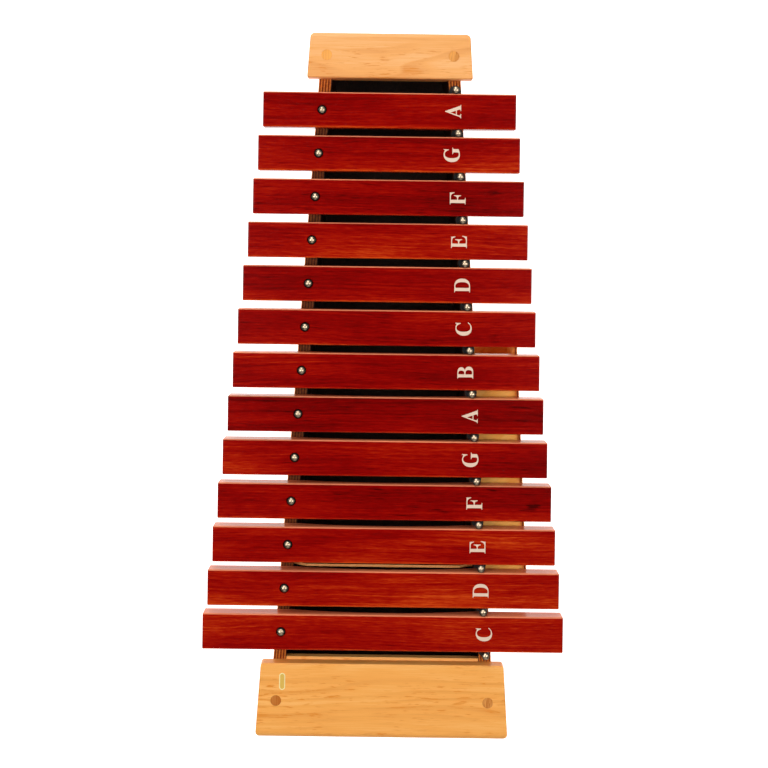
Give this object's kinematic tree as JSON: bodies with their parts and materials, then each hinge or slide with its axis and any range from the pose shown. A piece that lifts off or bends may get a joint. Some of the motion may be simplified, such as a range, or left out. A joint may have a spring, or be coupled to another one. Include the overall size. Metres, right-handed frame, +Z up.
{
  "type": "xylophone",
  "caption": "Diatonic alto xylophone: wooden tone bars on sleeved pins over a tapered resonator box with end planks and a side pocket for spare bars.",
  "frame": {"origin": "under the middle of the whole instrument, on the surface that its feet stand on", "axes": "+X from the low notes to the high notes, -Y towards the player, +Z up"},
  "size_m": [0.758, 0.385, 0.1579],
  "materials": {
    "tone_wood": "lacquered deep red hardwood",
    "pine": "satin lacquered pine",
    "plywood": "satin lacquered plywood with layered edges",
    "hardboard": "dark pressed board",
    "pocket_wood": "satin lacquered",
    "plug_wood": "satin lacquered end grain",
    "nickel": "nickel plated",
    "zinc_steel": "zinc plated",
    "black_rubber": "matte",
    "label_metal": "satin blank plate"
  },
  "bodies": {
    "box": {"side_wall_far": "plywood", "side_wall_near": "plywood", "end_wall_low": "plywood", "end_wall_high": "plywood", "bottom_panel": "hardboard", "partition": "plywood", "plank_batten_low": "pine", "plank_batten_high": "pine", "end_plank_low": "pine", "end_plank_high": "pine", "plank_plugs": "plug_wood", "label_plate": "label_metal", "plank_screws": "zinc_steel", "foot_screws": "zinc_steel", "bottom_screws": "zinc_steel", "end_wall_screws": "zinc_steel", "pocket_screws": "zinc_steel", "pins_far": "nickel", "pins_near": "nickel", "sleeves_far": "black_rubber", "sleeves_near": "black_rubber", "feet": "black_rubber", "pocket_floor": "plywood", "pocket_top": "pocket_wood", "pocket_wall": "plywood", "pocket_end": "plywood"},
    "bar_c4": {"bar_c4": "tone_wood"},
    "bar_d4": {"bar_d4": "tone_wood"},
    "bar_e4": {"bar_e4": "tone_wood"},
    "bar_f4": {"bar_f4": "tone_wood"},
    "bar_g4": {"bar_g4": "tone_wood"},
    "bar_a4": {"bar_a4": "tone_wood"},
    "bar_b4": {"bar_b4": "tone_wood"},
    "bar_c5": {"bar_c5": "tone_wood"},
    "bar_d5": {"bar_d5": "tone_wood"},
    "bar_e5": {"bar_e5": "tone_wood"},
    "bar_f5": {"bar_f5": "tone_wood"},
    "bar_g5": {"bar_g5": "tone_wood"},
    "bar_a5": {"bar_a5": "tone_wood"}
  },
  "joints": [
    {"name": "lift_c4", "type": "slide", "parent": "box", "child": "bar_c4", "axis": [0, 0, 1], "range_m": [0, 0.04]},
    {"name": "lift_d4", "type": "slide", "parent": "box", "child": "bar_d4", "axis": [0, 0, 1], "range_m": [0, 0.04]},
    {"name": "lift_e4", "type": "slide", "parent": "box", "child": "bar_e4", "axis": [0, 0, 1], "range_m": [0, 0.04]},
    {"name": "lift_f4", "type": "slide", "parent": "box", "child": "bar_f4", "axis": [0, 0, 1], "range_m": [0, 0.04]},
    {"name": "lift_g4", "type": "slide", "parent": "box", "child": "bar_g4", "axis": [0, 0, 1], "range_m": [0, 0.04]},
    {"name": "lift_a4", "type": "slide", "parent": "box", "child": "bar_a4", "axis": [0, 0, 1], "range_m": [0, 0.04]},
    {"name": "lift_b4", "type": "slide", "parent": "box", "child": "bar_b4", "axis": [0, 0, 1], "range_m": [0, 0.04]},
    {"name": "lift_c5", "type": "slide", "parent": "box", "child": "bar_c5", "axis": [0, 0, 1], "range_m": [0, 0.04]},
    {"name": "lift_d5", "type": "slide", "parent": "box", "child": "bar_d5", "axis": [0, 0, 1], "range_m": [0, 0.04]},
    {"name": "lift_e5", "type": "slide", "parent": "box", "child": "bar_e5", "axis": [0, 0, 1], "range_m": [0, 0.04]},
    {"name": "lift_f5", "type": "slide", "parent": "box", "child": "bar_f5", "axis": [0, 0, 1], "range_m": [0, 0.04]},
    {"name": "lift_g5", "type": "slide", "parent": "box", "child": "bar_g5", "axis": [0, 0, 1], "range_m": [0, 0.04]},
    {"name": "lift_a5", "type": "slide", "parent": "box", "child": "bar_a5", "axis": [0, 0, 1], "range_m": [0, 0.04]}
  ]
}
